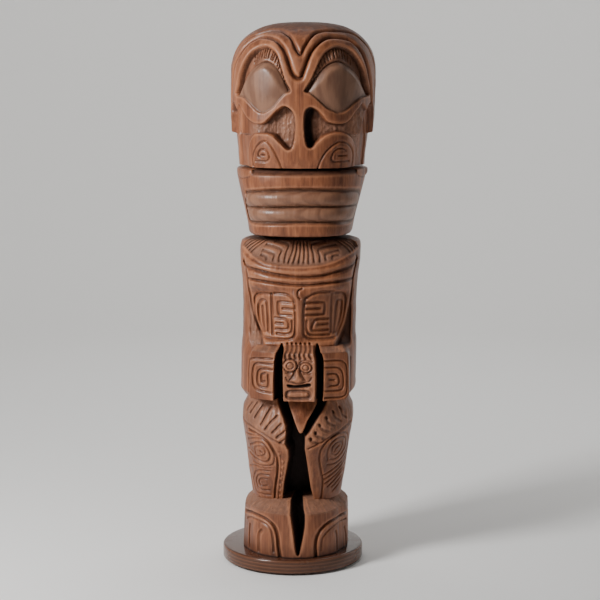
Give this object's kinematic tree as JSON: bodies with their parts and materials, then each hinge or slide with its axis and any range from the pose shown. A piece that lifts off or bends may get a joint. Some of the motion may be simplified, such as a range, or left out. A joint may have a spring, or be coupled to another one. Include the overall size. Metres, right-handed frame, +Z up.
{
  "type": "carved tiki figure",
  "caption": "Tall standing tiki figure carved from a log, with a large masked head, folded hands and a round plywood base.",
  "frame": {"origin": "on the floor under the middle of the whole figure's bounding box, 6.5 mm right of the centre of the round base", "axes": "+Z up along the log, the face looks along -Y, +X is to the right of a viewer facing it"},
  "size_m": [0.2129, 0.2, 0.7605],
  "materials": {
    "stained_wood": "satin varnish over brown stain",
    "base_plywood": "gloss varnish over dark brown stain",
    "zinc_steel": "zinc plated",
    "felt": "pressed felt"
  },
  "bodies": {
    "root": {"carved_figure": "stained_wood", "base_disc": "base_plywood", "base_screw_1": "zinc_steel", "base_screw_2": "zinc_steel", "base_screw_3": "zinc_steel", "base_screw_4": "zinc_steel", "felt_pad_1": "felt", "felt_pad_2": "felt", "felt_pad_3": "felt", "felt_pad_4": "felt"}
  },
  "joints": []
}
